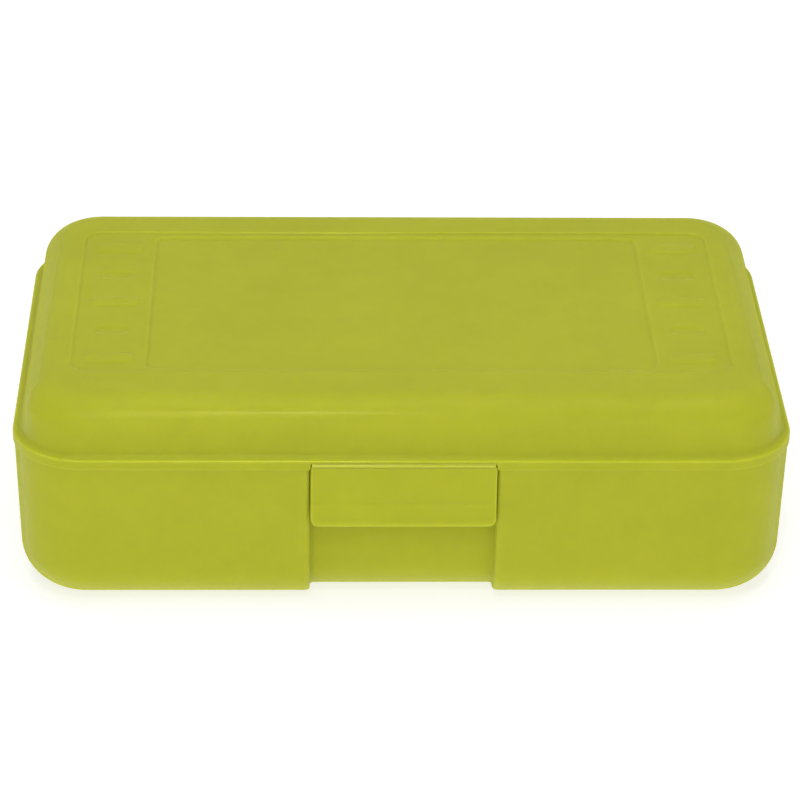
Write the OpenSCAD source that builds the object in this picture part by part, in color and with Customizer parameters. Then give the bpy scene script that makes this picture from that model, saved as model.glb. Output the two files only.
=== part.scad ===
// Hinged pencil case: a rounded tub, a domed lid that swings on two snap
// hinges at the back, and a front latch flap that hangs from the lid by a
// living hinge. Origin: centre of the flat bottom. X is the length, the
// latch faces -Y, +Z is up. Millimetres.

/* [Case] */
// Length of the lid's rim, end to end
case_l = 215.9; // [190:0.1:240]
// Depth of the lid's rim, front to back, without latch and hinges
case_w = 131.2; // [115:0.1:150]
// Radius of the vertical corners at the rim
corner_r = 20.1; // [18.5:0.1:26]
// Moulded wall thickness
wall = 1.6; // [1.3:0.1:1.9]

/* [Tub] */
// Height of the line where the lid's rim meets the tub
split_z = 45.16; // [40:0.01:55]
// Radius of the rounded bottom edge
foot_r = 13.2; // [9:0.1:14]
// Draft of the tub's walls, in degrees
tub_draft = 1.4; // [0.5:0.1:2]
// Step of the tub's wall behind the edge of the lid
tub_step = 0.35; // [0.2:0.05:0.5]

/* [Lid] */
// Height of the lid's rim band
lip_h = 2.89; // [2.6:0.01:3.4]
// Width of the flat ledge between rim and dome
ledge_w = 2.28; // [1.8:0.01:3]
// Draft of the dome's walls, in degrees
dome_draft = 8.1; // [5:0.1:10]
// Radius of the dome's top edge
dome_r = 9.63; // [7:0.01:10]
// Overall height, closed
case_h = 63.0; // [60:0.1:75]
// Depth of the sunk field in the lid's top
field_d = 0.5; // [0.3:0.1:0.7]
// Further depth of the centre panel
panel_d = 0.6; // [0.3:0.1:0.8]
// Height of the plain raised pads at the ends
pad_h = 0.5; // [0.3:0.1:0.6]
// Number of pads and dimples in each end column
pad_count = 5; // [3:2:5]

/* [Latch] */
// Width of the latch flap
flap_w = 50.4; // [40:0.1:60]
// Height of the lower edge of the flap
flap_z0 = 27.6; // [22:0.1:32]
// Depth of the finger recess behind and below the flap
recess_d = 4.2; // [4.1:0.1:5]
// Width of the finger recess
recess_w = 51.7; // [51.4:0.1:62]

/* [Hinge] */
// Distance of each hinge from the middle
hinge_x = 60; // [40:1:75]
// Width of each hinge clip
clip_w = 12; // [8:1:16]
// Radius of the hinge pins
pin_r = 2.0; // [1.8:0.1:2.1]
// Running clearance between pin and clip
pin_gap = 0.08; // [0.05:0.01:0.1]

/* [Hidden] */
$fn = 96;
lime = [0.66, 0.68, 0.17];

A = case_l / 2;               // half length of the rim
B = case_w / 2;               // half depth of the rim
XS = A - corner_r;            // corner centres
YS = B - corner_r;

// tub profile, measured as inset u from the rim's outline and height z
zt0 = foot_r * (1 - sin(tub_draft));      // where wall meets foot radius
function tub_u(z) = tub_step + (split_z - z) * tan(tub_draft);
uc = tub_u(zt0) + foot_r * cos(tub_draft);  // inset of the foot radius' centre
shoulder_z = split_z - 0.3;               // the lid's rim stops above this
tongue_z = split_z + 1.09;                // top of the tub's inner tongue
tongue_u0 = 1.4;
tongue_u1 = 2.2;

// lid profile
ledge_z = split_z + lip_h;
ledge_t = 1.5;
lip_t = 1.1;
zl1 = case_h - dome_r * (1 - sin(dome_draft)); // where wall meets top radius
function dome_u(z) = ledge_w + (z - ledge_z) * tan(dome_draft);
ul = dome_u(zl1) + dome_r * cos(dome_draft);   // inset of the top radius' centre
zl = case_h - dome_r;                          // its height
function in_u(z) = dome_u(z) + wall / cos(dome_draft);

// sunk field and centre panel of the lid
field_x = 92; field_y0 = -41.5; field_y1 = 43; field_r = 5;
panel_x = 71; panel_y0 = -39; panel_y1 = 42; panel_r = 3;
pad_x = 81.5;

// latch and recess
rx = recess_w / 2;
flap_x = flap_w / 2;
root_y = -B + 0.38;                       // axis of the living hinge
root_z = ledge_z - 1.45;
root_h = 0.6;                             // half height of the thin web
flap_z1 = root_z - root_h;
notch_x = flap_x + 0.3;

// rear hinge axis
ax_y = B + 3.8;
ax_z = split_z - 0.56;
clip_r = 3.7;
ear_t = 2.5;
ear_gap = 0.3;

// ---- helpers -------------------------------------------------------

// profiles are drawn in a plane where x = -inset and y = height
function flip(pts) = [for (p = pts) [-p[0], p[1]]];
// one quarter of a profile, swept round a corner
module corner(sx, sy) {
    a = sx > 0 ? (sy > 0 ? 0 : 270) : (sy > 0 ? 90 : 180);
    translate([sx * XS, sy * YS, 0]) rotate([0, 0, a])
        rotate_extrude(angle = 90) translate([corner_r, 0]) children();
}
// profile along the front, from x0 to x1
module front(x0, x1)
    translate([x1, -B, 0]) rotate([90, 0, -90]) linear_extrude(x1 - x0) children();
// profile along the back
module rear(x0, x1)
    translate([x0, B, 0]) rotate([90, 0, 90]) linear_extrude(x1 - x0) children();
// profile along an end, s = -1 left, +1 right
module end_side(s)
    if (s > 0) translate([A, YS, 0]) rotate([90, 0, 0]) linear_extrude(2 * YS) children();
    else translate([-A, -YS, 0]) rotate([90, 0, 180]) linear_extrude(2 * YS) children();
// all the way round, except the middle of the front
module ring(gap) {
    for (sx = [-1, 1], sy = [-1, 1]) corner(sx, sy) children();
    for (s = [-1, 1]) end_side(s) children();
    rear(-XS, XS) children();
    front(-XS, -gap) children();
    front(gap, XS) children();
}
// rounded rectangle between two corners
module rrect(x0, y0, x1, y1, r) {
    translate([x0 + r, y0]) square([x1 - x0 - 2 * r, y1 - y0]);
    translate([x0, y0 + r]) square([x1 - x0, y1 - y0 - 2 * r]);
    for (x = [x0 + r, x1 - r], y = [y0 + r, y1 - r]) translate([x, y]) circle(r);
}
// wall of a shell: a quarter of a ring round c from direction n to the vertical
// (v = +1 up, -1 down), and a straight band from n to the points e0 (outside)
// and e1 (inside), and a flat run of length f past c
module shell_band(c, n, v, r, e0, e1, f) {
    m = c + (r - wall / 2) * [n[0] * cos(9) , n[1] * cos(9) + v * sin(9)];
    intersection() {
        translate([-c[0], c[1]]) difference() { circle(r); circle(r - wall); }
        polygon(flip([c, c + 60 * n, c + [-60, v * 60], c + [0, v * 60]]));
    }
    polygon(flip([c + r * n, e0, e1, c + (r - wall) * n, m]));
    zf = c[1] + v * r;
    polygon(flip([[c[0], zf], [c[0] + f, zf], [c[0] + f, zf - v * wall], [c[0], zf - v * wall],
                  c + (r - wall / 2) * [-sin(9), v * cos(9)]]));
}

// ---- tub -----------------------------------------------------------

ctub = [uc, foot_r];
ntub = [-cos(tub_draft), -sin(tub_draft)];
ftub = 0.6 * (corner_r - uc);
// wall with foot radius, up to height z1
module tub_band(z1) shell_band(ctub, ntub, -1, foot_r,
    [tub_u(z1), z1], [tub_u(z1) + wall / cos(tub_draft), z1], ftub);
// everything inward of the tub's surface, up to inset u1 and height z1;
// off = 0 outside, off = wall inside
module tub_side(off, u1, z1) {
    k = foot_r - off;
    intersection() {
        translate([-uc, foot_r]) circle(k);
        polygon(flip([ctub, ctub + 60 * ntub, ctub + [-60, -60], ctub + [0, -60]]));
    }
    polygon(flip([ctub + k * ntub, [tub_u(z1) + off / cos(tub_draft), z1], [u1, z1], [u1, off], [uc, off]]));
}
// wall up to the shoulder, and the tongue that stands inside the lid's rim
module tub_wall() {
    tub_band(shoulder_z);
    polygon(flip([[tub_u(38) + wall - 0.2, 38], [tub_u(38) + wall / cos(tub_draft), 38],
                  [tongue_u1, 41.5], [tongue_u1, tongue_z - 0.2], [tongue_u1 - 0.2, tongue_z],
                  [tongue_u0 + 0.2, tongue_z], [tongue_u0, tongue_z - 0.2],
                  [tongue_u0, shoulder_z - 0.5]]));
}
// wall of the finger recess: the same profile set back
module recess_wall() translate([-recess_d, 0]) tub_band(tongue_z);
// cheek that closes each end of the recess, to the middle of its wall
module recess_cheek() difference() {
    union() {
        tub_side(0, uc + recess_d + 0.45 * (corner_r - uc), shoulder_z);
        translate([-tongue_u0 - recess_d - 0.4, 30]) square([recess_d + 0.4, tongue_z - 30]);
    }
    translate([-recess_d, 0]) tub_side(wall / 2, uc + 5, tongue_z + 1);
}

module base_tub() color(lime) {
    ring(rx + wall) tub_wall();
    front(-rx - wall, rx + wall) recess_wall();
    for (x = [-rx - wall, rx]) front(x, x + wall) recess_cheek();
    uf = uc + 0.32 * (corner_r - uc);
    difference() {
        translate([-A + uf, -B + uf, 0]) cube([2 * (A - uf), 2 * (B - uf), wall]);
        translate([-rx - wall, -B, -1]) cube([2 * (rx + wall), uc + recess_d + 0.3 * (corner_r - uc), wall + 2]);
    }
}

// ear pairs with their pins, moulded on the tub's back wall
function back_y(z) = B - tub_u(z);
module ear2d() {
    circle(3.2);
    polygon([[0, -3.2], [3.6, -1.5], [3.6, 2.4], [0, 3.2]]);
    polygon([[back_y(ax_z - 0.1) - ax_y, -0.1], [0, 0], [2.2, -2.3], [0, -3.2],
             [back_y(ax_z - 9) - ax_y, -9]]);
}
module tub_hinge_brackets() color(lime)
    for (s = [-1, 1]) translate([s * hinge_x, ax_y, ax_z]) {
        for (e = [-1, 1]) translate([e * (clip_w / 2 + ear_gap + ear_t / 2) - ear_t / 2, 0, 0])
            rotate([90, 0, 90]) linear_extrude(ear_t) ear2d();
        translate([-clip_w / 2 - ear_gap - ear_t / 2, 0, 0])
            rotate([0, 90, 0]) cylinder(r = pin_r, h = clip_w + 2 * ear_gap + ear_t);
    }

// ridge on the recess wall that the flap's bead snaps under
module front_catch() color(lime)
    translate([-17, 0, 0]) rotate([90, 0, 90]) linear_extrude(34) polygon([
        [-B + recess_d + tub_u(33.0), 33.0],
        [-B + recess_d + tub_u(33.0) - 1.6, 33.8],
        [-B + recess_d + tub_u(33.0) - 1.6, 34.3],
        [-B + recess_d + tub_u(38.0), 38.0]]);

// ---- lid -----------------------------------------------------------

ndome = [-cos(dome_draft), sin(dome_draft)];
module dome_wall() {
    zb = ledge_z - ledge_t;
    shell_band([ul, zl], ndome, 1, dome_r,
        [dome_u(zb), zb], [in_u(zb), zb], 0.6 * (corner_r - ul));
}
// rim ledge that carries the dome, with or without the band over the tub's tongue
module ledge(lip) {
    zb = ledge_z - ledge_t;
    um = dome_u(ledge_z) + wall / 2;
    polygon(flip(concat(
        [[0.4, ledge_z], [um, ledge_z], [um, zb]],
        lip ? [[lip_t, zb], [lip_t, split_z], [0.35, split_z], [0, split_z + 0.35]]
            : [[lip_t - 0.3, zb], [lip_t - 0.3, zb + 0.65], [0, zb + 0.65]],
        [[0, ledge_z - 0.4]])));
}
module lid_wall() { dome_wall(); ledge(true); }

// top plate, carried down under the sunk field and panel at an even wall
module top_plate() {
    up = ul + 0.32 * (corner_r - ul);
    translate([-A + up, -B + up, case_h - wall]) cube([2 * (A - up), 2 * (B - up), wall]);
    translate([0, 0, case_h - wall - field_d]) linear_extrude(field_d + 0.5)
        rrect(-field_x - 1, field_y0 - 1, field_x + 1, field_y1 + 1, field_r + 1);
    translate([0, 0, case_h - wall - field_d - panel_d]) linear_extrude(field_d + panel_d)
        rrect(-panel_x - 1, panel_y0 - 1, panel_x + 1, panel_y1 + 0.5, panel_r + 1);
}
// sunk field, centre panel and dimples
module top_pockets() {
    translate([0, 0, case_h - field_d]) linear_extrude(2)
        rrect(-field_x, field_y0, field_x, field_y1, field_r);
    translate([0, 0, case_h - field_d - panel_d]) linear_extrude(2)
        rrect(-panel_x, panel_y0, panel_x, panel_y1, panel_r);
    for (s = [-1, 1], i = [1 : 2 : pad_count - 1])
        translate([s * pad_x, pad_y(i), case_h - field_d - 0.45]) linear_extrude(2) pad2d(10, 5);
}
// plain pads that alternate with the dimples
module top_pads()
    for (s = [-1, 1], i = [0 : 2 : pad_count - 1])
        translate([s * pad_x, pad_y(i), case_h - field_d - 0.2]) linear_extrude(pad_h + 0.2) pad2d(14, 5.6);
function pad_y(i) = (field_y0 + field_y1) / 2 + ((pad_count - 1) / 2 - i) * 17;
module pad2d(l, w) {
    square([l - w, w], center = true);
    for (x = [-1, 1]) translate([x * (l - w) / 2, 0]) circle(w / 2);
}

module lid_shell() color(lime) {
    difference() {
        union() {
            ring(notch_x) lid_wall();
            front(-notch_x, notch_x) { dome_wall(); ledge(false); }
            top_plate();
        }
        top_pockets();
    }
    top_pads();
}

// C-shaped clips on the lid's rim that snap over the pins
module lid_hinge_clips() color(lime)
    for (s = [-1, 1]) translate([s * hinge_x - clip_w / 2, ax_y, ax_z])
        rotate([90, 0, 90]) linear_extrude(clip_w) difference() {
            union() {
                circle(clip_r);
                polygon([[B - ax_y, split_z + 0.36 - ax_z], [0, 0],
                         [0, clip_r], [-1.6, ledge_z - 0.5 - ax_z], [B - ax_y, ledge_z - 0.5 - ax_z]]);
            }
            circle(pin_r + pin_gap);
            polygon([[0, 0], [6 * cos(-140), 6 * sin(-140)], [0, -9], [6 * cos(-40), 6 * sin(-40)]]);
        }

// ---- latch ---------------------------------------------------------

module latch_flap() color(lime) {
    fy = -B - 0.05;
    intersection() {
        translate([-flap_x, 0, 0]) rotate([90, 0, 90]) linear_extrude(flap_w) union() {
            polygon([[fy + 0.3, flap_z1], [fy, flap_z1 - 0.4], [fy - 0.3, 35.0], [fy - 0.5, 34.3],
                     [fy - 0.95, 29.4], [fy - 0.9, 28.3], [fy - 0.5, flap_z0],
                     [fy + 0.5, flap_z0], [fy + 1.0, 28.4], [fy + 1.6, 34.0],
                     [fy + 1.6, flap_z1]]);
        }
        rotate([90, 0, 0]) translate([0, 0, B - 10]) linear_extrude(20)
            rrect(-flap_x, flap_z0, flap_x, flap_z1 + 4, 2);
    }
    // bead that holds under the catch
    translate([-15, 0, 0]) rotate([90, 0, 90]) linear_extrude(30)
        polygon([[fy + 1.2, 29.2], [fy + 2.7, 31.0], [fy + 2.7, 31.7], [fy + 1.2, 32.6]]);
}

module latch_living_hinge() color(lime)
    translate([-flap_x + 0.6, root_y, root_z]) rotate([90, 0, 90]) linear_extrude(flap_w - 1.2) {
        circle(0.42);
        translate([-0.25, -root_h]) square([0.5, 2 * root_h]);
    }

base_tub();
tub_hinge_brackets();
front_catch();
lid_shell();
lid_hinge_clips();
latch_flap();
latch_living_hinge();
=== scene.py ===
import bpy
import math
import numpy as np
from mathutils import Matrix, Vector


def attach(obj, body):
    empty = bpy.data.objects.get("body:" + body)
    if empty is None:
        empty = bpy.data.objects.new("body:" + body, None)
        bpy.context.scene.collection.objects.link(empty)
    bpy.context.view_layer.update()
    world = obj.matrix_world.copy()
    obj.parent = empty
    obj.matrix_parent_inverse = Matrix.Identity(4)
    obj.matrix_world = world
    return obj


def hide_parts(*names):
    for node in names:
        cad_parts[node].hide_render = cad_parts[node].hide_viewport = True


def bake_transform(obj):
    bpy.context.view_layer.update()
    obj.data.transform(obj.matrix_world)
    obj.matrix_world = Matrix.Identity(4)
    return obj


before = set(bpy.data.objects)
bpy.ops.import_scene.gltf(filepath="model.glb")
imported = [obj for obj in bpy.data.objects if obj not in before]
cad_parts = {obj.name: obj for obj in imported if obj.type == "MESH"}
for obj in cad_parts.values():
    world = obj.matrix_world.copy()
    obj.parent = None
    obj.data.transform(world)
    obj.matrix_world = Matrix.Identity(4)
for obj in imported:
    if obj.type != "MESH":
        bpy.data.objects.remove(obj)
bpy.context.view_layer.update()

# ---------------------------------------------------------------- dimensions
# millimetres, the same numbers as the CAD source
A, B = 107.95, 65.6
R = 20.1
XS, YS = A - R, B - R
WALL = 1.6
SPLIT = 45.16
FOOT_R = 13.2
DRAFT = math.radians(1.4)
STEP = 0.35
LEDGE_Z = SPLIT + 2.89
LEDGE_W = 2.28
LEDGE_T = 1.5
LIP_T = 1.1
DDRAFT = math.radians(8.1)
DOME_R = 9.63
TOP = 63.0
FIELD_D, PANEL_D, PAD_H = 0.5, 0.6, 0.40
RX = 25.72
REC_D = 4.2
RC = 1.5  # radius of the recess's upright edges
FLAP_X = 25.3
FLAP_Z0 = 27.6
HINGE_X, CLIP_W, CLIP_R = 60.0, 12.0, 3.7
PIN_R, PIN_GAP = 2.0, 0.08
EAR_T, EAR_GAP = 2.5, 0.3
SHOULDER = SPLIT - 0.04
TONGUE_Z = SPLIT + 1.09
TONGUE_0, TONGUE_1 = 1.4, 2.2
ROOT_Y = -B + 0.38
ROOT_Z = LEDGE_Z - 1.45
FLAP_Z1 = ROOT_Z - 0.6
AX_Y = B + 3.8
AX_Z = SPLIT - 0.56


def tub_u(z):
    return STEP + (SPLIT - z) * math.tan(DRAFT)


ZT0 = FOOT_R * (1 - math.sin(DRAFT))
UC = tub_u(ZT0) + FOOT_R * math.cos(DRAFT)


def dome_u(z):
    return LEDGE_W + (z - LEDGE_Z) * math.tan(DDRAFT)


ZL1 = TOP - DOME_R * (1 - math.sin(DDRAFT))
UL = dome_u(ZL1) + DOME_R * math.cos(DDRAFT)
ZL = TOP - DOME_R

# ---------------------------------------------------------------- small tools


def arc(cx, cy, r, a0, a1, n):
    """n + 1 points of an arc, angles in degrees."""
    a = np.radians(np.linspace(a0, a1, n + 1))
    return [(cx + r * math.cos(t), cy + r * math.sin(t)) for t in a]


def line(p, q, n):
    """n points after p up to q."""
    return [
        (p[0] + (q[0] - p[0]) * i / n, p[1] + (q[1] - p[1]) * i / n)
        for i in range(1, n + 1)
    ]


def chain(pts):
    """Drops points that repeat."""
    out = [pts[0]]
    for p in pts[1:]:
        if math.dist(p, out[-1]) > 1e-6:
            out.append(p)
    return out


def fillet(pts, radii, n=4, closed=True):
    """Polygon with each corner rounded by its own radius."""
    m = len(pts)
    out = []
    for i in range(m):
        p = np.array(pts[i], float)
        r = radii[i] if hasattr(radii, "__len__") else radii
        if r <= 0 or (not closed and i in (0, m - 1)):
            out.append(tuple(p))
            continue
        a = np.array(pts[i - 1], float) - p
        b = np.array(pts[(i + 1) % m], float) - p
        la, lb = np.linalg.norm(a), np.linalg.norm(b)
        a, b = a / la, b / lb
        c = float(np.clip(a @ b, -1, 1))
        half = math.acos(c) / 2
        if half > math.radians(88.5):
            out.append(tuple(p))
            continue
        d = min(r / math.tan(half), 0.48 * la, 0.48 * lb)
        rr = d * math.tan(half)
        centre = p + (a + b) / np.linalg.norm(a + b) * rr / math.sin(half)
        s, e = p + a * d - centre, p + b * d - centre
        a0 = math.atan2(s[1], s[0])
        da = (math.atan2(e[1], e[0]) - a0 + math.pi) % (2 * math.pi) - math.pi
        for k in range(n + 1):
            t = a0 + da * k / n
            out.append((centre[0] + rr * math.cos(t), centre[1] + rr * math.sin(t)))
    return out


def resample(pts, n):
    """n points along an open line, ends kept, corners kept as near as they fall."""
    p = np.array(pts, float)
    d = np.concatenate([[0], np.cumsum(np.linalg.norm(np.diff(p, axis=0), axis=1))])
    t = np.linspace(0, d[-1], n)
    # each original corner pulls its nearest sample onto itself
    for c in d[1:-1]:
        k = int(np.argmin(abs(t - c)))
        if 0 < k < n - 1:
            t[k] = c
    t = np.sort(t)
    return [(float(np.interp(v, d, p[:, 0])), float(np.interp(v, d, p[:, 1]))) for v in t]


def spaced(stops):
    """Sample positions from [(position, spacing up to the next stop), ...]."""
    out = [stops[0][0]]
    for (a, s), (b, _) in zip(stops, stops[1:]):
        n = max(1, int(math.ceil((b - a) / s - 1e-6)))
        out += [a + (b - a) * i / n for i in range(1, n + 1)]
    return np.array(out)


def smooth(t):
    t = np.clip(t, 0.0, 1.0)
    return t * t * (3 - 2 * t)


def sd_rrect(x, y, x0, y0, x1, y1, r):
    """Signed distance to a rounded rectangle, negative inside."""
    cx, cy = (x0 + x1) / 2, (y0 + y1) / 2
    qx = np.abs(x - cx) - (x1 - x0) / 2 + r
    qy = np.abs(y - cy) - (y1 - y0) / 2 + r
    return (
        np.hypot(np.maximum(qx, 0), np.maximum(qy, 0))
        + np.minimum(np.maximum(qx, qy), 0)
        - r
    )


def mesh_object(name, verts, faces, attrs=None, auto=32.0):
    """Object from millimetre points; smooth, with edges over `auto` degrees kept sharp."""
    me = bpy.data.meshes.new(name)
    me.from_pydata([tuple(v) for v in (np.asarray(verts, float) * 0.001).tolist()], [], faces)
    me.validate()
    me.update()
    for k, v in (attrs or {}).items():
        at = me.attributes.new(k, "FLOAT", "POINT")
        at.data.foreach_set("value", np.asarray(v, np.float32))
    me.polygons.foreach_set("use_smooth", [True] * len(me.polygons))
    ob = bpy.data.objects.new(name, me)
    bpy.context.scene.collection.objects.link(ob)
    me.set_sharp_from_angle(angle=math.radians(auto))
    w = ob.modifiers.new("normals", "WEIGHTED_NORMAL")
    w.keep_sharp = True
    w.weight = 60
    return ob


def join_parts(parts):
    """[(verts, faces), ...] as one list of points and faces."""
    vs, fs, base = [], [], 0
    for v, f in parts:
        v = np.asarray(v, float)
        vs.append(v)
        fs += [tuple(i + base for i in q) for q in f]
        base += len(v)
    return np.concatenate(vs), fs


def prism(profile, x0, x1, r=0.3, n=3):
    """Solid with a (y, z) outline, drawn along X, its end edges rounded by r."""
    p = np.array(profile, float)
    area = 0.5 * np.sum(p[:, 0] * np.roll(p[:, 1], -1) - np.roll(p[:, 0], -1) * p[:, 1])
    if area < 0:
        p = p[::-1]
    prev, nxt = np.roll(p, 1, axis=0), np.roll(p, -1, axis=0)
    e0, e1 = p - prev, nxt - p
    e0 /= np.linalg.norm(e0, axis=1)[:, None] + 1e-12
    e1 /= np.linalg.norm(e1, axis=1)[:, None] + 1e-12
    n0 = np.stack([-e0[:, 1], e0[:, 0]], 1)
    n1 = np.stack([-e1[:, 1], e1[:, 0]], 1)
    nn = n0 + n1
    nn /= np.linalg.norm(nn, axis=1)[:, None] + 1e-12
    k = 1 / np.maximum(np.sum(nn * n0, axis=1), 0.5)
    nn *= k[:, None]
    rings = []
    for i in range(n + 1):
        a = math.pi / 2 * i / n
        rings.append((x0 + r * (1 - math.sin(a)), r * (1 - math.cos(math.pi / 2 - a))))
    left = [(x0 + r - r * math.sin(math.pi / 2 * (1 - i / n)), r - r * math.cos(math.pi / 2 * (1 - i / n))) for i in range(n + 1)]
    right = [(x1 - (x - x0), d) for x, d in left[::-1]]
    verts, faces, m = [], [], len(p)
    for x, d in left + right:
        q = p + nn * d
        verts.append(np.column_stack([np.full(m, x), q]))
    verts = np.concatenate(verts)
    rows = len(left) + len(right)
    for j in range(rows - 1):
        for i in range(m):
            i2 = (i + 1) % m
            faces.append((j * m + i, j * m + i2, (j + 1) * m + i2, (j + 1) * m + i))
    faces = [f[::-1] for f in faces]
    faces.append(tuple(range(m)))
    faces.append(tuple(range((rows - 1) * m, rows * m))[::-1])
    # outline runs counter-clockwise seen from +X, so the +X end faces +X
    faces = [tuple(f[::-1]) for f in faces]
    return verts, faces


def lathe_x(points, cy, cz, n=48):
    """Solid of revolution about X from (x, radius) points, closed at both ends."""
    pts = [p for p in points]
    verts, faces = [], []
    m = len(pts)
    for x, r in pts:
        for i in range(n):
            a = 2 * math.pi * i / n
            verts.append((x, cy + r * math.cos(a), cz + r * math.sin(a)))
    for j in range(m - 1):
        for i in range(n):
            i2 = (i + 1) % n
            faces.append((j * n + i, j * n + i2, (j + 1) * n + i2, (j + 1) * n + i)[::-1])
    faces.append(tuple(range(n)))
    faces.append(tuple(range((m - 1) * n, m * n))[::-1])
    faces = [tuple(f[::-1]) for f in faces]
    return np.array(verts), faces


# ---------------------------------------------------------------- swept shells


def shell_path(front, xs, ys, corner_n):
    """The outline at the rim, counter-clockwise from the front's left end. front is
    (points, wall normals, shift directions, blend), one row for each of xs."""
    P, N, D, W, F, G = [], [], [], [], [], []
    nx, ny = len(xs), len(ys)

    def node(i, j):
        return j * nx + i

    def add(p, n, d, w, f, g):
        P.append(p), N.append(n), D.append(d), W.append(w), F.append(f), G.append(g)

    def corner(sx, sy, a0, g):
        for k in range(1, corner_n):
            a = math.radians(a0 + 90 * k / corner_n)
            c, s = math.cos(a), math.sin(a)
            add((sx * XS + R * c, sy * YS + R * s), (-c, -s), (-c, -s), 0.0, (sx * XS, sy * YS), g)

    for i in range(nx):
        fp, fn, fd, fw = front[0][i], front[1][i], front[2][i], front[3][i]
        add(fp, fn, fd, fw, (xs[i], -YS), node(i, 0))
    corner(1, -1, -90, node(nx - 1, 0))
    for j in range(ny):
        add((A, ys[j]), (-1, 0), (-1, 0), 0.0, (XS, ys[j]), node(nx - 1, j))
    corner(1, 1, 0, node(nx - 1, ny - 1))
    for i in range(nx - 1, -1, -1):
        add((xs[i], B), (0, -1), (0, -1), 0.0, (xs[i], YS), node(i, ny - 1))
    corner(-1, 1, 90, node(0, ny - 1))
    for j in range(ny - 1, -1, -1):
        add((-A, ys[j]), (1, 0), (1, 0), 0.0, (-XS, ys[j]), node(0, j))
    corner(-1, -1, 180, node(0, 0))
    return [np.array(v, float) for v in (P, N, D, W, F)] + [G]


def straight_front(xs, blend):
    n = len(xs)
    return (
        [(x, -B) for x in xs],
        [(0.0, 1.0)] * n,
        [(0.0, 1.0)] * n,
        [blend(x) for x in xs],
    )


def shell(path, xs, ys, normal, alt, flat_from, shape=None):
    """Closed shell. normal and alt are lists of (s, t, z): s the inset, t the way along the
    wall's own normal. The first and last point of each lie at inset R on the flat."""
    P, N, D, W, F, G = path
    K, M = len(P), len(normal)
    nx, ny = len(xs), len(ys)
    normal, alt = np.array(normal, float), np.array(alt, float)
    verts = np.zeros((0, 3))
    rings = []
    for j in range(1, M - 1):
        c = normal[j][None, :] * (1 - W[:, None]) + alt[j][None, :] * W[:, None]
        s, t, z = c[:, 0], c[:, 1], c[:, 2]
        q = np.clip((s - flat_from) / (R - flat_from), 0, 1)[:, None]
        base = P + N * t[:, None] + D * np.minimum(s, flat_from)[:, None]
        xy = base * (1 - q) + F * q
        rings.append(np.column_stack([xy, z, np.full(K, float(j))]))
    gx, gy = np.meshgrid(xs, ys)
    caps = []
    for j in (0, M - 1):
        caps.append(
            np.column_stack(
                [gx.ravel(), gy.ravel(), np.full(nx * ny, normal[j][2]), np.full(nx * ny, float(j))]
            )
        )
    allv = np.concatenate([caps[0]] + rings + [caps[1]])
    off = [0] + [nx * ny + K * i for i in range(M - 2)] + [nx * ny + K * (M - 2)]

    def idx(j, k):
        k %= K
        if j == 0:
            return G[k]
        if j == M - 1:
            return off[-1] + G[k]
        return off[j] + k

    faces = []
    for j in range(M - 1):
        for k in range(K):
            f = [idx(j, k), idx(j, k + 1), idx(j + 1, k + 1), idx(j + 1, k)]
            g = [f[i] for i in range(4) if f[i] != f[i - 1]]
            if len(g) > 2:
                faces.append(tuple(g))
    for b in range(ny - 1):
        for a in range(nx - 1):
            n00, n10 = b * nx + a, b * nx + a + 1
            n01, n11 = n00 + nx, n10 + nx
            faces.append((n00, n01, n11, n10))
            o = off[-1]
            faces.append((o + n00, o + n10, o + n11, o + n01))
    row = allv[:, 3].astype(int)
    v = allv[:, :3]
    if shape is not None:
        v = shape(v, row)
    return v, faces, row


# ---------------------------------------------------------------- relief of the lid
FIELD = (-92.0, -41.5, 92.0, 44.6, 5.0)
PANEL = (-71.0, -39.0, 71.0, 42.0, 3.0)
PAD_X = 81.5
BACK_SLOPE = 1.189
PAD_YS = [0.75 + (2 - i) * 17.0 for i in range(5)]


def relief(x, y, soft=0.8):
    """Height of the lid's top over its flat rim."""
    def inside(d, w):
        return smooth(0.5 - d / w)

    # the step at the back is a crisp bevel, the others are soft
    crisp = smooth((y - 36.0) / 4.0)
    w = soft * (1.45 - 0.45 * crisp)
    d = sd_rrect(x, y, *FIELD)
    bevel = sum(np.clip(0.5 - (d + q) * BACK_SLOPE / FIELD_D, 0, 1) for q in (-0.05, 0.0, 0.05)) / 3
    if soft > 1:
        bevel = inside(d, w)
    h = -FIELD_D * (inside(d, w) * (1 - crisp) + bevel * crisp)
    h -= PANEL_D * inside(sd_rrect(x, y, *PANEL), soft * 1.6)
    ax = np.abs(x)
    for i, py in enumerate(PAD_YS):
        l, w = ((14.0, 5.6) if i % 2 == 0 else (10.0, 5.0))
        d = sd_rrect(ax, y, PAD_X - l / 2, py - w / 2, PAD_X + l / 2, py + w / 2, w / 2 - 1e-3)
        if i % 2 == 0:
            h += PAD_H * inside(d + 0.25, 1.7)
        else:
            h -= 0.42 * inside(d + 0.25, 1.7)
    return h


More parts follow.
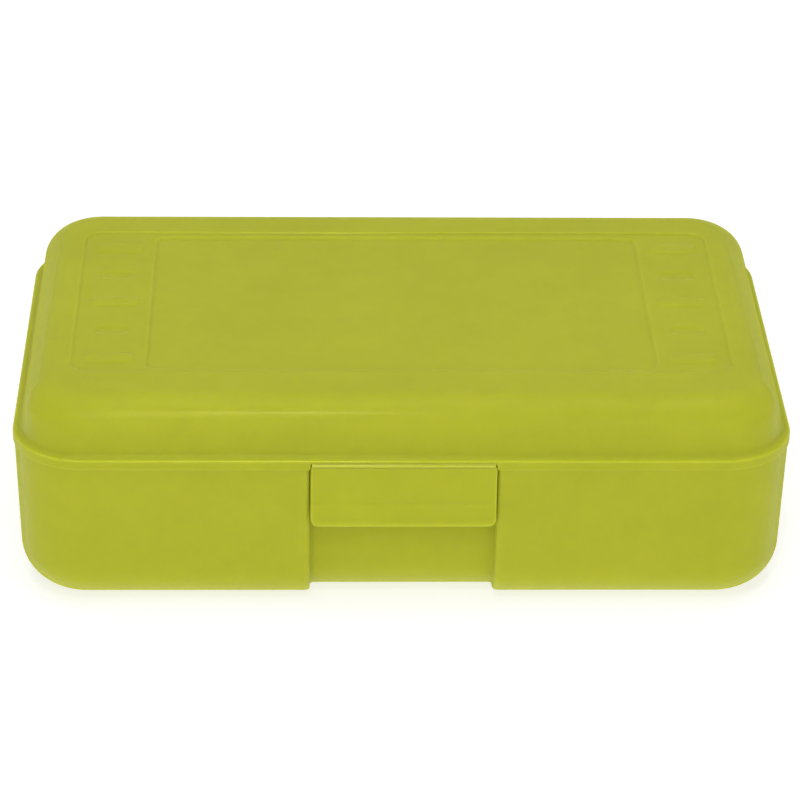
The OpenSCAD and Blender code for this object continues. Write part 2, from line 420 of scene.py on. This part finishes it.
# ---------------------------------------------------------------- lid
def build_lid():
    half = [
        (0.0, 4.0), (24.0, 0.6), (25.2, 0.15), (25.8, 0.6), (27.0, 4.0), (69.6, 0.35), (72.2, 1.0),
        (74.0, 0.45), (77.5, 0.8), (85.5, 0.45), (XS, 1.0),
    ]
    pos = spaced(half)
    xs = np.concatenate([-pos[:0:-1], pos])
    stops = [-YS, -43.2, -38.0]
    edges = []
    for i, py in enumerate(PAD_YS):
        w = 2.8 if i % 2 == 0 else 2.5
        edges += [py - w, py + w]
    edges = sorted(edges)
    ystops = [(-YS, 0.8), (-42.6, 0.35), (-40.6, 0.5), (-40.0, 0.35), (-38.0, 0.6)]
    for e in edges:
        ystops += [(e - 0.85, 0.34), (e + 0.65, 1.6)]
    ystops = [s for s in ystops if s[0] < 39.8]
    ystops += [(39.8, 0.5), (41.0, 0.3), (44.1, 0.10), (45.1, 0.2), (YS, 1.0)]
    ystops = sorted(ystops)
    ys = spaced(ystops)

    rr = DOME_R - WALL
    d = math.degrees(DDRAFT)
    flat_s = spaced([(UL, 1.2), (14.9, 0.3), (17.0, 1.1), (R, 1.0)])
    inner = [(s, TOP - WALL) for s in flat_s[::-1]]
    inner += [(UL - rr * math.cos(a), ZL + rr * math.sin(a)) for a in np.radians(np.linspace(90, d, 15))][1:]
    zb = LEDGE_Z - LEDGE_T
    in_b = dome_u(zb) + WALL / math.cos(DDRAFT)
    inner += line(inner[-1], (in_b + 0.35 * math.tan(DDRAFT), zb + 0.35), 4)
    inner += [(in_b - 0.1, zb + 0.08), (in_b - 0.35, zb)]
    under = inner[-1]
    low = [under] + line(under, (LIP_T + 0.9, zb), 2)
    low += arc(LIP_T + 0.3, zb - 0.3, 0.3, 90, 180, 3)[0:]
    low += line((LIP_T, zb - 0.3), (LIP_T, SPLIT + 0.2), 3)
    low += arc(LIP_T - 0.2, SPLIT + 0.2, 0.2, 0, -90, 3)
    low += line((LIP_T - 0.2, SPLIT), (0.18, SPLIT), 1)
    low += arc(0.18, SPLIT + 0.18, 0.18, -90, -180, 5)
    low += line((0.0, SPLIT + 0.18), (0.0, LEDGE_Z - 0.60), 4)
    low = chain(low)
    notch_line = fillet(
        [under, (0.8, zb), (0.8, zb + 0.65), (0.0, zb + 0.65), (0.0, LEDGE_Z - 0.60)],
        [0, 0.18, 0.15, 0.09, 0], n=3, closed=False,
    )
    low_alt = resample(chain(notch_line), len(low))
    outer = fillet(
        [(0.0, LEDGE_Z - 0.60), (0.0, LEDGE_Z - 0.30), (0.28, LEDGE_Z), (0.60, LEDGE_Z)],
        [0, 0.3, 0.3, 0], n=3, closed=False,
    )
    fr = 1.6
    zc = LEDGE_Z + fr
    sc = dome_u(zc) - fr / math.cos(DDRAFT)
    outer += line((0.60, LEDGE_Z), (sc, LEDGE_Z), 1)
    outer += [(sc + fr * math.cos(b), zc + fr * math.sin(b)) for b in np.radians(np.linspace(-90, -d, 9))][1:]
    top0 = (UL - DOME_R * math.cos(DDRAFT), ZL + DOME_R * math.sin(DDRAFT))
    outer += line(outer[-1], top0, 4)
    outer += [(UL - DOME_R * math.cos(a), ZL + DOME_R * math.sin(a)) for a in np.radians(np.linspace(d, 90, 19))][1:]
    outer += [(s, TOP) for s in flat_s[1:]]
    c0 = chain(inner + low[1:] + outer[1:])
    c1 = chain(inner + low_alt[1:] + outer[1:])
    assert len(c0) == len(c1), (len(c0), len(c1))
    n_in = len([p for p in inner if p[1] > TOP - WALL - 1e-6])
    n_out = len(flat_s)
    M = len(c0)

    def shape(v, row):
        x, y = v[:, 0], v[:, 1]
        h = relief(x, y)
        hi = relief(x, y, 1.5)
        z = v[:, 2].copy()
        z = np.where(row < n_in, z + hi, z)
        z = np.where(row >= M - n_out, z + h, z)
        return np.column_stack([x, y, z])

    def blend(x):
        return 1.0 - float(smooth((abs(x) - 25.2) / 0.6))

    path = shell_path(straight_front(xs, blend), xs, ys, 20)
    v, f, row = shell(path, xs, ys, [(a, 0, b) for a, b in c0], [(a, 0, b) for a, b in c1], UL, shape)
    return v, f, row


# ---------------------------------------------------------------- tub
def build_tub():
    left, nrm, sh, bl = [], [], [], []
    far = spaced([(-XS, 3.2), (-RX - RC, 1)])
    for x in far:
        left.append((x, -B)), nrm.append((0, 1)), sh.append((0, 1)), bl.append(0.0)
    n1 = 8
    for k in range(1, n1 + 1):
        a = math.pi / 2 * k / n1
        left.append((-RX - RC + RC * math.sin(a), -B + RC - RC * math.cos(a)))
        nrm.append((-math.sin(a), math.cos(a))), sh.append((0, 1)), bl.append(float(smooth(a / (math.pi / 2) * 1.3)))
    n2 = 6
    for k in range(0, n2 + 1):
        a = math.pi / 2 * k / n2
        left.append((-RX + 1.2 - 1.2 * math.cos(a), -B + 3.0 + 1.2 * math.sin(a)))
        nrm.append((-math.cos(a), math.sin(a))), sh.append((0, 1)), bl.append(1.0)
    mid = spaced([(-RX + 1.2, 0.8), (-23.0, 3.3), (0.0, 1)])[1:]
    for x in mid:
        left.append((x, -B + REC_D)), nrm.append((0, 1)), sh.append((0, 1)), bl.append(1.0)
    m = len(left)
    right = [(-x, y) for x, y in left[-2::-1]]
    rn = [(-a, b) for a, b in nrm[-2::-1]]
    pts, nr = left + right, nrm + rn
    shd, bl = sh + sh[-2::-1], bl + bl[-2::-1]
    xs = [p[0] for p in left]
    i0, i1 = len(far) - 1, len(far) - 1 + n1 + n2 + 1
    for i in range(i0, i1 + 1):
        xs[i] = xs[i0] + (xs[i1] - xs[i0]) * (i - i0) / (i1 - i0)
    xs = np.array(xs + [-x for x in xs[-2::-1]])
    ys = spaced([(-YS, 3.25), (YS, 1)])

    dg = math.degrees(DRAFT)
    ch = [(R, 0, 0), (18.2, 0, 0), (16.2, 0, 0)]
    for a in np.radians(np.linspace(90, dg, 20)):
        ch.append((UC - FOOT_R * math.cos(a), 0, FOOT_R - FOOT_R * math.sin(a)))
    z0 = ch[-1][2]
    for z in spaced([(z0, 4.2), (SHOULDER - 1.0, 1.0)])[1:]:
        ch.append((tub_u(z), 0, z))
    # rim, in (inset, z)
    s1 = tub_u(SHOULDER)
    zi = 38.0
    in_s = tub_u(zi) + WALL / math.cos(DRAFT)
    rim = fillet(
        [
            (tub_u(SHOULDER - 1.0), SHOULDER - 1.0), (s1, SHOULDER), (TONGUE_0, SHOULDER),
            (TONGUE_0, TONGUE_Z), (TONGUE_1, TONGUE_Z), (TONGUE_1, 41.5), (in_s, zi),
        ],
        [0, 0.12, 0.12, 0.3, 0.3, 3.0, 0], n=4, closed=False,
    )
    rim = chain(rim)
    rim_alt = fillet(
        [
            (tub_u(SHOULDER - 1.0), SHOULDER - 1.0), (tub_u(TONGUE_Z), TONGUE_Z),
            (tub_u(TONGUE_Z) + WALL, TONGUE_Z), (in_s, zi),
        ],
        [0, 0.4, 0.4, 0], n=6, closed=False,
    )
    rim_alt = resample(chain(rim_alt), len(rim))

    def split(p):
        s = tub_u(p[1])
        return (s, p[0] - s, p[1])

    c0 = ch + [split(p) for p in rim[1:]]
    c1 = ch + [split(p) for p in rim_alt[1:]]
    tail = []
    zi_end = z0 + WALL * math.sin(DRAFT)
    for z in spaced([(-zi, 4.2), (-zi_end, 1.0)])[1:]:
        tail.append((tub_u(-z), WALL / math.cos(DRAFT), -z))
    for a in np.radians(np.linspace(dg, 90, 16))[1:]:
        tail.append((UC - FOOT_R * math.cos(a), WALL * math.cos(a), FOOT_R - (FOOT_R - WALL) * math.sin(a)))
    tail += [(16.2, 0, WALL), (18.2, 0, WALL), (R, 0, WALL)]
    c0, c1 = c0 + tail, c1 + tail
    path = shell_path((pts, nr, shd, bl), xs, ys, 22)
    return shell(path, xs, ys, c0, c1, UC)


# ---------------------------------------------------------------- latch flap
FY = -B - 0.05


def build_flap():
    z0, z1 = FLAP_Z0, FLAP_Z1
    front_pts = [(z0, FY - 0.62), (z0 + 0.5, FY - 0.88), (28.6, FY - 0.95), (29.0, FY - 0.93), (29.9, FY - 0.70), (30.6, FY - 0.62),
                 (34.15, FY - 0.52), (34.45, FY - 0.47), (34.85, FY - 0.30), (35.2, FY - 0.26), (40.0, FY - 0.14), (z1, FY)]
    back_pts = [(z0, FY + 0.62), (z0 + 0.8, FY + 1.0), (31.0, FY + 1.35), (34.0, FY + 1.6), (z1, FY + 1.6)]
    zs = spaced([(z0, 0.07), (z0 + 0.28, 0.16), (z0 + 0.9, 0.2), (z0 + 3.2, 0.4), (33.6, 0.13), (35.6, 1.4),
                 (44.6, 0.35), (45.4, 0.12), (z1, 1)])
    half = spaced([(0, 3.1), (13.6, 0.25), (15.4, 2.2), (22.4, 0.7), (24.2, 0.25), (24.8, 0.08), (FLAP_X, 1)])
    xs = np.concatenate([-half[:0:-1], half])
    fz = np.array([p[0] for p in front_pts]); fyy = np.array([p[1] for p in front_pts])
    bz = np.array([p[0] for p in back_pts]); byy = np.array([p[1] for p in back_pts])

    def soft(z, a, b):
        k = [0.12, 0.06, 0.0, -0.06, -0.12]
        return np.mean([np.interp(z + q, a, b) for q in k], axis=0)

    r = 2.3
    X, Z = np.meshgrid(xs, zs)
    w = np.where(Z < z0 + r, FLAP_X - (r - np.sqrt(np.maximum(0, r * r - (r - (Z - z0)) ** 2))), FLAP_X)
    X = X * w / FLAP_X
    e = -sd_rrect(X, Z, -FLAP_X, z0, FLAP_X, z1 + 20, r)
    e = np.minimum(e, (z1 - Z) * 3.0)
    e = np.maximum(e, 0)

    def round_off(e, q):
        t = np.clip(e, 0, q)
        return q - np.sqrt(np.maximum(0, q * q - (q - t) ** 2))

    yf = soft(Z, fz, fyy) + round_off(e, 0.32)
    yb = soft(Z, bz, byy) - round_off(e, 0.3)
    bead = smooth((Z - 29.2) / 1.7) * (1 - smooth((Z - 31.75) / 0.95)) * (1 - smooth((np.abs(X) - 14.0) / 1.0))
    yb = yb + bead * (FY + 2.7 - (FY + 1.42))
    ny_, nx_ = X.shape
    # the sides flare a little towards the back
    vf = np.column_stack([X.ravel() * 25.50 / FLAP_X + 0.10, yf.ravel(), Z.ravel()])
    vb = np.column_stack([X.ravel() * 25.62 / FLAP_X, yb.ravel(), Z.ravel()])
    v = np.concatenate([vf, vb])
    o = len(vf)
    f = []
    for j in range(ny_ - 1):
        for i in range(nx_ - 1):
            a, b2, c, d = j * nx_ + i, j * nx_ + i + 1, (j + 1) * nx_ + i + 1, (j + 1) * nx_ + i
            f.append((a, b2, c, d))
            f.append((o + a, o + d, o + c, o + b2))
    loop = (
        [i for i in range(nx_)]
        + [j * nx_ + nx_ - 1 for j in range(1, ny_)]
        + [(ny_ - 1) * nx_ + i for i in range(nx_ - 2, -1, -1)]
        + [j * nx_ for j in range(ny_ - 2, 0, -1)]
    )
    n = len(loop)
    for k in range(n):
        a, b2 = loop[k], loop[(k + 1) % n]
        f.append((b2, a, o + a, o + b2))
    return v, f


def build_web():
    """Thin web between the lid's rim and the flap, with the bead it bends on."""
    front = fillet(
        [(-0.36, -0.90), (-0.36, -0.44), (-0.58, -0.22), (-0.58, 0.02), (-0.34, 0.27), (-0.34, 0.74)],
        [0, 0.1, 0.1, 0.08, 0.08, 0], n=4, closed=False,
    )
    front = [(y, z) for y, z in front]
    steps = []
    for a, b in zip(front, front[1:]):
        k = max(1, int(math.ceil(math.dist(a, b) / 0.08)))
        steps += [(a[0] + (b[0] - a[0]) * i / k, a[1] + (b[1] - a[1]) * i / k) for i in range(k)]
    steps.append(front[-1])
    rear = [(0.25 + 0.12 * math.exp(-((z / 0.30) ** 4)), z) for z in np.linspace(0.74, -0.90, 33)]
    prof = [(ROOT_Y + y, ROOT_Z + z) for y, z in steps + rear]
    return prism(prof, -25.15, 25.15, 0.1, 2)


def build_catch():
    b = -B + REC_D
    prof = fillet(
        [(b + tub_u(33.0) + 0.35, 32.9), (b + tub_u(33.0) - 0.05, 33.0), (b + tub_u(33.0) - 1.6, 33.8), (b + tub_u(33.0) - 1.6, 34.3),
         (b + tub_u(38.0) - 0.05, 38.0), (b + tub_u(38.0) + 0.35, 38.1)],
        [0, 0.25, 0.22, 0.3, 0.8, 0], n=4,
    )
    return prism(prof, -17, 17, 0.35, 4)


# ---------------------------------------------------------------- rear hinges
def back_y(z):
    return B - tub_u(z)


def build_brackets():
    parts = []
    top = AX_Z + 2.4
    ear = []
    # from the wall, under the arm, round the nose, over the horn, back to the wall
    pts = [
        (back_y(AX_Z - 9) - 0.5, AX_Z - 9.4), (back_y(AX_Z - 9) + 0.15, AX_Z - 9.0),
        (AX_Y + 0.0, AX_Z - 3.2), (AX_Y + 1.9, AX_Z - 2.55), (AX_Y + 3.6, AX_Z - 1.5), (AX_Y + 3.6, top),
        (AX_Y + 2.0, AX_Z + 2.9), (AX_Y, AX_Z + 3.2), (AX_Y - 2.26, AX_Z + 2.26), (AX_Y - 3.2, AX_Z + 0.1),
        (back_y(AX_Z - 0.1) - 0.5, AX_Z - 0.1),
    ]
    rad = [0, 0.8, 2.0, 0.8, 0.8, 0.7, 0.9, 1.6, 1.6, 0.6, 0]
    prof = fillet(pts, rad, n=5)
    for s in (-1, 1):
        for e in (-1, 1):
            c = s * HINGE_X + e * (CLIP_W / 2 + EAR_GAP + EAR_T / 2)
            parts.append(prism(prof, c - EAR_T / 2, c + EAR_T / 2, 0.35, 4))
        l = CLIP_W / 2 + EAR_GAP + 0.6
        x = s * HINGE_X
        parts.append(lathe_x([(x - l, PIN_R), (x - CLIP_W / 2 - 0.05, PIN_R), (x, PIN_R), (x + CLIP_W / 2 + 0.05, PIN_R), (x + l, PIN_R)], AX_Y, AX_Z, 56))
    return join_parts(parts)


def build_clips():
    parts = []
    ri, ro = PIN_R + PIN_GAP, CLIP_R
    mouth0, mouth1 = -40.0, 220.0  # the C runs counter-clockwise from -40 to 220 degrees
    lip = []
    # inside of the C, from one lip of the mouth to the other
    inner = [(AX_Y + ri * math.cos(a), AX_Z + ri * math.sin(a)) for a in np.radians(np.linspace(mouth1, mouth0, 45))]
    # outside, up to where the arm leaves
    outer_a = [(AX_Y + ro * math.cos(a), AX_Z + ro * math.sin(a)) for a in np.radians(np.linspace(mouth0, 92, 26))]
    arm_top = LEDGE_Z - 0.5
    arm = [(AX_Y - 1.6, arm_top), (B - 0.5, arm_top), (B - 0.5, SPLIT + 0.36)]
    # round the underside back to the C
    a0 = 180 - math.degrees(math.asin((SPLIT + 0.36 - AX_Z) / ro))
    outer_b = [(AX_Y + ro * math.cos(a), AX_Z + ro * math.sin(a)) for a in np.radians(np.linspace(a0, mouth1, 9))]
    pts = inner + outer_a + arm + outer_b
    rad = [0.0] * len(pts)
    n = len(inner)
    rad[0] = rad[n - 1] = 0.3
    rad[n] = rad[-1] = 0.45
    rad[n + len(outer_a) - 1] = 0.8
    rad[n + len(outer_a)] = 1.4
    rad[n + len(outer_a) + 3] = 0.3
    prof = chain(fillet(pts, rad, n=4))
    for s in (-1, 1):
        x = s * HINGE_X
        parts.append(prism(prof, x - CLIP_W / 2, x + CLIP_W / 2, 0.25, 3))
    return join_parts(parts)


# ---------------------------------------------------------------- materials
def srgb(r, g, b):
    return tuple((c / 12.92 if c <= 0.04045 else ((c + 0.055) / 1.055) ** 2.4) for c in (r / 255, g / 255, b / 255))


def new_nodes(name):
    m = bpy.data.materials.new(name)
    m.use_nodes = True
    nt = m.node_tree
    for n in list(nt.nodes):
        nt.nodes.remove(n)
    return m, nt


def noise(nt, vec, scale, detail=4.0, rough=0.5, kind="FBM"):
    n = nt.nodes.new("ShaderNodeTexNoise")
    n.inputs["Scale"].default_value = scale
    n.inputs["Detail"].default_value = detail
    n.inputs["Roughness"].default_value = rough
    nt.links.new(vec, n.inputs["Vector"])
    return n.outputs["Fac"]


def ramp(nt, val, a, b, lo=0.0, hi=1.0):
    n = nt.nodes.new("ShaderNodeMapRange")
    n.inputs["From Min"].default_value = a
    n.inputs["From Max"].default_value = b
    n.inputs["To Min"].default_value = lo
    n.inputs["To Max"].default_value = hi
    n.clamp = True
    nt.links.new(val, n.inputs["Value"])
    return n.outputs["Result"]


def math_node(nt, op, a, b=None):
    n = nt.nodes.new("ShaderNodeMath")
    n.operation = op
    for i, v in enumerate((a, b)):
        if v is None:
            continue
        if hasattr(v, "is_linked") or hasattr(v, "links"):
            nt.links.new(v, n.inputs[i])
        else:
            n.inputs[i].default_value = v
    return n.outputs[0]


def mix_rgb(nt, fac, a, b, mode="MIX"):
    n = nt.nodes.new("ShaderNodeMix")
    n.data_type = "RGBA"
    n.blend_type = mode
    for s, v in ((0, fac), (6, a), (7, b)):
        if hasattr(v, "links"):
            nt.links.new(v, n.inputs[s])
        else:
            n.inputs[s].default_value = v if s == 0 else (*v, 1.0)
    return n.outputs[2]


def plastic(name, base, seed=0.0, rough=0.185, haze=1.0, depth=0.0022):
    """Frosted, slightly translucent moulded polypropylene."""
    m, nt = new_nodes(name)
    out = nt.nodes.new("ShaderNodeOutputMaterial")
    p = nt.nodes.new("ShaderNodeBsdfPrincipled")
    nt.links.new(p.outputs[0], out.inputs[0])
    tc = nt.nodes.new("ShaderNodeTexCoord")
    mp = nt.nodes.new("ShaderNodeMapping")
    mp.inputs["Location"].default_value = (seed, seed * 0.7, seed * 0.3)
    nt.links.new(tc.outputs["Object"], mp.inputs["Vector"])
    v = mp.outputs["Vector"]
    # cloudy density of the resin, at about 25 mm and 6 mm
    big = noise(nt, v, 38.0, 3.0, 0.55)
    small = noise(nt, v, 170.0, 4.0, 0.6)
    cloud = math_node(nt, "ADD", math_node(nt, "MULTIPLY", big, 0.6), math_node(nt, "MULTIPLY", small, 0.4))
    cl = ramp(nt, cloud, 0.36, 0.64)
    dark = tuple(c * (1 - 0.030 * haze) for c in base)
    lite = tuple(min(1, c * (1 + 0.030 * haze)) for c in base)
    col = mix_rgb(nt, cl, dark, lite)
    # rubbed edges, a little paler
    at = nt.nodes.new("ShaderNodeAttribute")
    at.attribute_name = "edge"
    wear_n = noise(nt, v, 420.0, 5.0, 0.65)
    wear = math_node(nt, "MULTIPLY", at.outputs["Fac"], ramp(nt, wear_n, 0.42, 0.7))
    pale = tuple(c * 0.86 + 0.14 * t for c, t in zip(base, (0.80, 0.82, 0.40)))
    col = mix_rgb(nt, math_node(nt, "MULTIPLY", wear, 0.3), col, pale)
    nt.links.new(col, p.inputs["Base Color"])
    # fine scuffs from use: long thin noise in two directions
    sc_m = nt.nodes.new("ShaderNodeMapping")
    sc_m.inputs["Scale"].default_value = (1.0, 26.0, 6.0)
    sc_m.inputs["Rotation"].default_value = (0.0, 0.0, 0.55)
    nt.links.new(v, sc_m.inputs["Vector"])
    scuff = ramp(nt, noise(nt, sc_m.outputs["Vector"], 42.0, 5.0, 0.62), 0.60, 0.72)
    sc2 = nt.nodes.new("ShaderNodeMapping")
    sc2.inputs["Scale"].default_value = (19.0, 1.0, 6.0)
    sc2.inputs["Rotation"].default_value = (0.0, 0.0, -0.30)
    nt.links.new(v, sc2.inputs["Vector"])
    scuff2 = ramp(nt, noise(nt, sc2.outputs["Vector"], 36.0, 5.0, 0.62), 0.62, 0.74)
    sc = math_node(nt, "MAXIMUM", scuff, scuff2)
    rough_n = ramp(nt, noise(nt, v, 95.0, 2.0, 0.5), 0.3, 0.7, rough - 0.015, rough + 0.015)
    rg = math_node(nt, "ADD", rough_n, math_node(nt, "MULTIPLY", sc, 0.008))
    # handling polishes the edges
    rg = math_node(nt, "SUBTRACT", rg, math_node(nt, "MULTIPLY", at.outputs["Fac"], 0.075))
    # the gloss dies away at glancing angles
    lw = nt.nodes.new("ShaderNodeLayerWeight")
    lw.inputs["Blend"].default_value = 0.5
    rg = math_node(nt, "ADD", rg, ramp(nt, lw.outputs["Facing"], 0.60, 0.92, 0.0, 0.72))
    nt.links.new(rg, p.inputs["Roughness"])
    # moulded grain of the tool's surface
    grain = noise(nt, v, 1500.0, 3.0, 0.6)
    wave = noise(nt, v, 120.0, 2.0, 0.5)
    h = math_node(nt, "ADD", math_node(nt, "MULTIPLY", grain, 0.10), math_node(nt, "MULTIPLY", wave, 0.9))
    h = math_node(nt, "SUBTRACT", h, math_node(nt, "MULTIPLY", sc, 0.02))
    bp = nt.nodes.new("ShaderNodeBump")
    bp.inputs["Strength"].default_value = 0.20
    bp.inputs["Distance"].default_value = 0.00022
    nt.links.new(h, bp.inputs["Height"])
    nt.links.new(bp.outputs["Normal"], p.inputs["Normal"])
    p.inputs["IOR"].default_value = 1.48
    p.inputs["Specular IOR Level"].default_value = 0.10
    p.inputs["Specular Tint"].default_value = (1.0, 1.0, 0.35, 1.0)
    p.inputs["Subsurface Weight"].default_value = 1.0
    p.inputs["Subsurface Radius"].default_value = (1.0, 1.0, 0.25)
    p.inputs["Subsurface Scale"].default_value = depth
    return m


def edge_attr(me, sharp=14.0):
    """How strongly the surface turns outward at each point, from 0 to 1."""
    n = len(me.vertices)
    co = np.zeros(n * 3); me.vertices.foreach_get("co", co); co = co.reshape(-1, 3)
    no = np.zeros(n * 3); me.vertices.foreach_get("normal", no); no = no.reshape(-1, 3)
    ed = np.zeros(len(me.edges) * 2, np.int64); me.edges.foreach_get("vertices", ed); ed = ed.reshape(-1, 2)
    d = co[ed[:, 1]] - co[ed[:, 0]]
    L = np.linalg.norm(d, axis=1) + 1e-9
    k = np.einsum("ij,ij->i", no[ed[:, 1]] - no[ed[:, 0]], d) / (L * L)  # 1/m
    best = np.zeros(n)
    np.maximum.at(best, ed[:, 0], k)
    np.maximum.at(best, ed[:, 1], k)
    e = np.clip((best - 150.0) / 1500.0, 0, 1)
    # narrow bevels count as edges all the way across
    short = ed[L < 0.00014]
    for _ in range(5):
        m = np.maximum(e[short[:, 0]], e[short[:, 1]])
        np.maximum.at(e, short[:, 0], m)
        np.maximum.at(e, short[:, 1], m)
    return e


# ---------------------------------------------------------------- build
BASE = (0.441, 0.464, 0.033)
# the latch flap is the same lime painted a little lighter: painted light for the extra light the hanging tab catches
BASE_LATCH_PAINTED_LIGHTER = (0.452, 0.476, 0.033)
# the hinge web is paler: partly the whitening of flexed plastic, partly a painted highlight for the bright line
# along the latch root
BASE_HINGE_WHITENED_PAINTED_HIGHLIGHT = (0.52, 0.55, 0.06)
mat_tub = plastic("tub_plastic_lime", BASE, 0.0)
mat_lid = plastic("lid_plastic_lime", BASE, 3.7)
# lighter copy of the lime for the flap, painted light rather than a different resin
mat_latch_painted_lighter = plastic("latch_plastic_lime_painted_lighter", BASE_LATCH_PAINTED_LIGHTER, 5.1)
# paler web material: stress whitening plus a painted highlight line
mat_hinge_whitened_painted_highlight = plastic("hinge_plastic_whitened_painted_highlight", BASE_HINGE_WHITENED_PAINTED_HIGHLIGHT, 1.3, 0.22, depth=0.0006)


def add(name, v, f, body, slot, mat, nodes, auto=32.0):
    ob = mesh_object(name, v, f, auto=auto)
    e = edge_attr(ob.data)
    at = ob.data.attributes.new("edge", "FLOAT", "POINT")
    at.data.foreach_set("value", e.astype(np.float32))
    ob.data.materials.append(mat)
    if body:
        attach(ob, body)
    if nodes:
        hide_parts(*nodes)
    return ob


v, f, _ = build_tub()
tub = add("tub", v, f, "tub", "tub_plastic", mat_tub, ["base_tub"])
v, f, _ = build_lid()
lid = add("lid", v, f, "lid", "lid_plastic", mat_lid, ["lid_shell"])
v, f = build_flap()
flap = add("flap", v, f, "latch", "lid_plastic", mat_latch_painted_lighter, ["latch_flap"])
v, f = build_catch()
catch = add("catch", v, f, "tub", "tub_plastic", mat_tub, ["front_catch"])
v, f = build_brackets()
brackets = add("hinge_brackets", v, f, "tub", "tub_plastic", mat_tub, ["tub_hinge_brackets"])
v, f = build_clips()
clips = add("hinge_clips", v, f, "lid", "lid_plastic", mat_lid, ["lid_hinge_clips"])
v, f = build_web()
web = add("latch_web", v, f, None, "lid_plastic", mat_hinge_whitened_painted_highlight, ["latch_living_hinge"])
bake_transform(web)

# ---------------------------------------------------------------- floor
fm, nt = new_nodes("pale_floor")
out = nt.nodes.new("ShaderNodeOutputMaterial")
p = nt.nodes.new("ShaderNodeBsdfPrincipled")
tc = nt.nodes.new("ShaderNodeTexCoord")
fcol = mix_rgb(nt, noise(nt, tc.outputs["Object"], 14.0, 3.0), (0.44, 0.44, 0.440), (0.46, 0.46, 0.460))
nt.links.new(fcol, p.inputs["Base Color"])
p.inputs["Roughness"].default_value = 0.9
p.inputs["Specular IOR Level"].default_value = 0.1
p.inputs["Emission Color"].default_value = (1.0, 1.0, 1.0, 1.0)
p.inputs["Emission Strength"].default_value = 0.68
nt.links.new(p.outputs[0], out.inputs[0])
s = 6.0
me = bpy.data.meshes.new("floor")
n = 12
me.from_pydata(
    [(-s + 2 * s * i / n, -s + 2 * s * j / n, -0.0002) for j in range(n + 1) for i in range(n + 1)], [],
    [(j * (n + 1) + i, j * (n + 1) + i + 1, (j + 1) * (n + 1) + i + 1, (j + 1) * (n + 1) + i) for j in range(n) for i in range(n)],
)
floor = bpy.data.objects.new("floor", me)
me.materials.append(fm)
bpy.context.scene.collection.objects.link(floor)

# ---------------------------------------------------------------- light
world = bpy.data.worlds.new("studio")
bpy.context.scene.world = world
world.use_nodes = True
bg = world.node_tree.nodes["Background"]
bg.inputs[0].default_value = (1.0, 1.0, 1.0, 1.0)
bg.inputs[1].default_value = 0.36


def area(name, az, el, dist, sx, sy, power, target=(0, 0, 0.04)):
    d = bpy.data.lights.new(name, "AREA")
    d.shape = "RECTANGLE"
    d.size, d.size_y = sx, sy
    d.energy = power
    o = bpy.data.objects.new(name, d)
    a, e = math.radians(az), math.radians(el)
    back = Vector((math.sin(a) * math.cos(e), -math.cos(a) * math.cos(e), math.sin(e)))
    o.location = Vector(target) + back * dist
    o.rotation_mode = "QUATERNION"
    o.rotation_quaternion = (-back).to_track_quat("-Z", "Y")
    bpy.context.scene.collection.objects.link(o)
    return o


area("key", -7, 50, 1.25, 0.18, 0.45, 1.8)
area("key_core", -2.6, 56, 1.2, 0.05, 0.045, 0.95)
area("front", -4, 14, 2.3, 1.4, 0.9, 6.4)
area("front_high", -5, 33, 2.3, 1.6, 1.0, 4.6)
area("top", 0, 88, 1.7, 1.6, 1.2, 13.6)

# ---------------------------------------------------------------- camera
az, el, roll = math.radians(-1.852), math.radians(29.164), math.radians(0.959)
back = Vector((math.sin(az) * math.cos(el), -math.cos(az) * math.cos(el), math.sin(el)))
target = Vector((0.000679, 0.0, 0.030619))
loc = target + back * 0.993019
right = (-back).cross(Vector((0, 0, 1))).normalized()
up = right.cross(-back)
r2 = right * math.cos(roll) + up * math.sin(roll)
u2 = -right * math.sin(roll) + up * math.cos(roll)
cd = bpy.data.cameras.new("camera")
cd.sensor_width = 36.0
cd.lens = 3400.445 * 36.0 / 800.0
cd.clip_start, cd.clip_end = 0.01, 50.0
cam = bpy.data.objects.new("camera", cd)
cam.matrix_world = Matrix(((r2.x, u2.x, back.x, loc.x), (r2.y, u2.y, back.y, loc.y), (r2.z, u2.z, back.z, loc.z), (0, 0, 0, 1)))
bpy.context.scene.collection.objects.link(cam)
bpy.context.scene.camera = cam

bpy.context.scene.view_settings.view_transform = "Standard"
bpy.context.scene.view_settings.look = "None"
bpy.context.scene.view_settings.exposure = 0.0
bpy.context.scene.view_settings.gamma = 1.0
